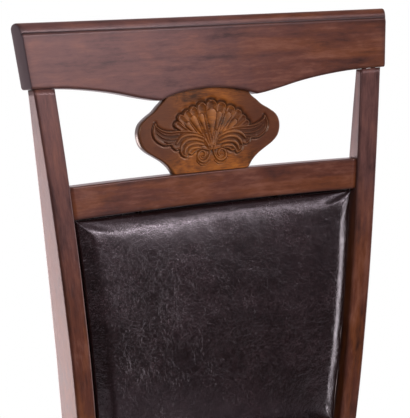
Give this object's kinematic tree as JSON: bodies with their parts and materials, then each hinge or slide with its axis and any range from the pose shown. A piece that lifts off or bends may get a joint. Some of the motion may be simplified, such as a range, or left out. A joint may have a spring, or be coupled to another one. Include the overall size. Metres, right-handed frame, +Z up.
{
  "type": "dining chair",
  "caption": "Armless wooden dining chair with a padded back panel, a carved medallion in the window under its crest rail, and an upholstered seat.",
  "frame": {"origin": "on the floor, under the middle of the whole chair", "axes": "+Z up along the chair's height, +X to the right of someone who looks at the chair's front, -Y towards where the sitter's knees point"},
  "size_m": [0.4722, 0.5016, 1.0063],
  "materials": {
    "stained_wood": "semi-gloss lacquer over a reddish walnut stain",
    "carved_wood": "semi-gloss lacquer over a golden brown stain, darker in the carving",
    "leatherette": "crackled dark brown leatherette with a soft sheen",
    "foam": "open-cell upholstery foam",
    "plywood": "bare plywood",
    "raw_wood": "bare beech",
    "dust_cloth": "black non-woven cloth",
    "zinced_steel": "bright zinc plating",
    "glide_plastic": "moulded nylon"
  },
  "bodies": {
    "root": {"crest_rail": "stained_wood", "upper_back_rail": "stained_wood", "lower_back_rail": "stained_wood", "rear_leg_left": "stained_wood", "rear_leg_right": "stained_wood", "front_leg_left": "stained_wood", "front_leg_right": "stained_wood", "rear_seat_rail": "stained_wood", "front_seat_rail": "stained_wood", "side_seat_rail_left": "stained_wood", "side_seat_rail_right": "stained_wood", "medallion": "carved_wood", "back_pad_cover": "leatherette", "back_rear_cover": "leatherette", "seat_cover": "leatherette", "back_pad_foam": "foam", "seat_foam": "foam", "back_pad_board": "plywood", "seat_board": "plywood", "corner_block_rear_left": "raw_wood", "corner_block_rear_right": "raw_wood", "corner_block_front_left": "raw_wood", "corner_block_front_right": "raw_wood", "crest_dowel_left_outer": "raw_wood", "crest_dowel_left_inner": "raw_wood", "crest_dowel_right_outer": "raw_wood", "crest_dowel_right_inner": "raw_wood", "medallion_top_dowel_left": "raw_wood", "medallion_top_dowel_right": "raw_wood", "medallion_foot_dowel_left": "raw_wood", "medallion_foot_dowel_right": "raw_wood", "pad_pin_left": "raw_wood", "pad_pin_right": "raw_wood", "dust_cover": "dust_cloth", "pad_screw_left": "zinced_steel", "pad_screw_right": "zinced_steel", "corner_bolt_rear_left": "zinced_steel", "corner_bolt_rear_right": "zinced_steel", "corner_bolt_front_left": "zinced_steel", "corner_bolt_front_right": "zinced_steel", "block_screw_rear_left_cross": "zinced_steel", "block_screw_rear_left_side": "zinced_steel", "block_screw_rear_right_cross": "zinced_steel", "block_screw_rear_right_side": "zinced_steel", "block_screw_front_left_cross": "zinced_steel", "block_screw_front_left_side": "zinced_steel", "block_screw_front_right_cross": "zinced_steel", "block_screw_front_right_side": "zinced_steel", "seat_screw_rear_left": "zinced_steel", "seat_screw_rear_right": "zinced_steel", "seat_screw_front_left": "zinced_steel", "seat_screw_front_right": "zinced_steel", "floor_glide_rear_left": "glide_plastic", "floor_glide_rear_right": "glide_plastic", "floor_glide_front_left": "glide_plastic", "floor_glide_front_right": "glide_plastic"}
  },
  "joints": []
}
